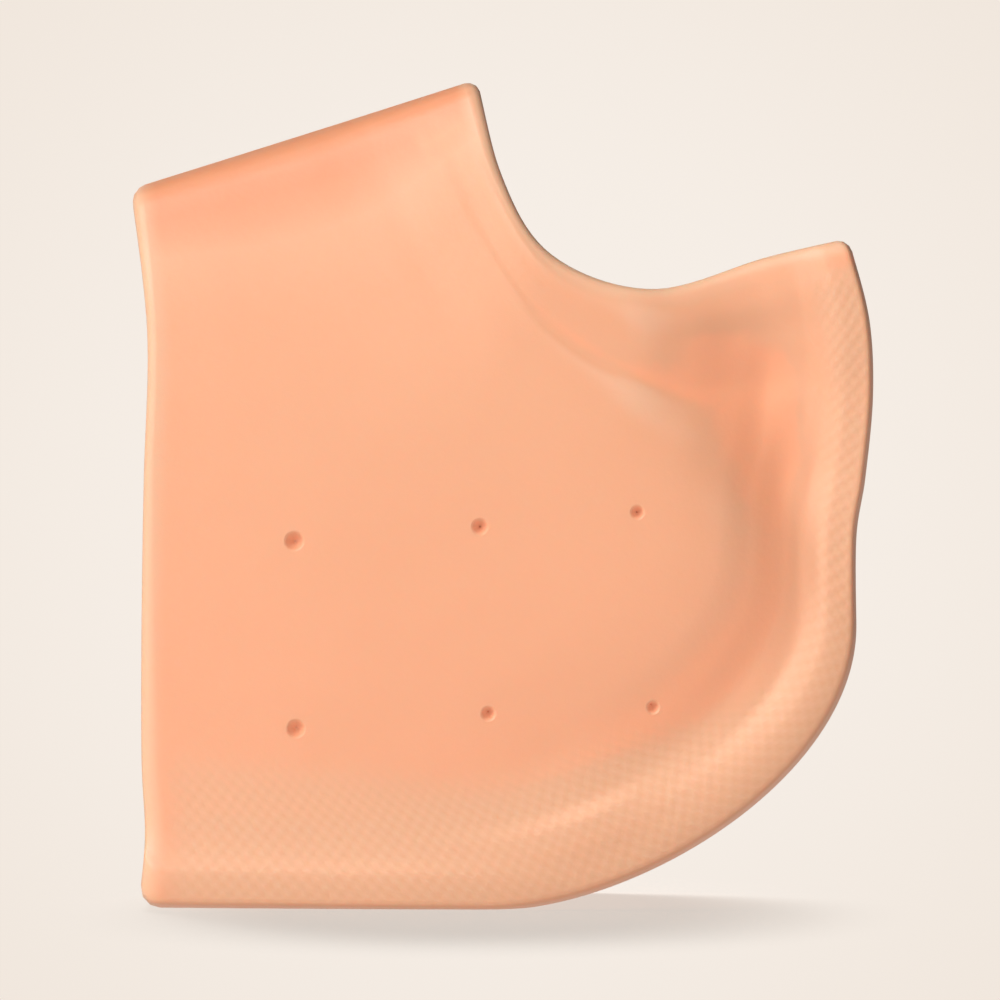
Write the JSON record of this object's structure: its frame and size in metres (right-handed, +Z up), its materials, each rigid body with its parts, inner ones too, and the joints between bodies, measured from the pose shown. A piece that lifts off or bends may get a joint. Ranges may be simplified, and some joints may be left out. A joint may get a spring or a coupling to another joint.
{
  "type": "silicone heel sleeve",
  "caption": "Moulded silicone sleeve that wraps the heel, with an open front for the foot, an open top for the ankle, a thick sole band and vented side walls.",
  "frame": {"origin": "on the floor, below the middle of the sleeve's box, as it stands on its sole", "axes": "+Z up, +X from the foot opening to the heel, Y across the sleeve from one side wall to the other"},
  "size_m": [0.0987, 0.0436, 0.11],
  "materials": {
    "silicone": "satin, slightly translucent, peach, with a fine grip texture on the sole and heel"
  },
  "bodies": {
    "root": {"sleeve": "silicone"}
  },
  "joints": []
}
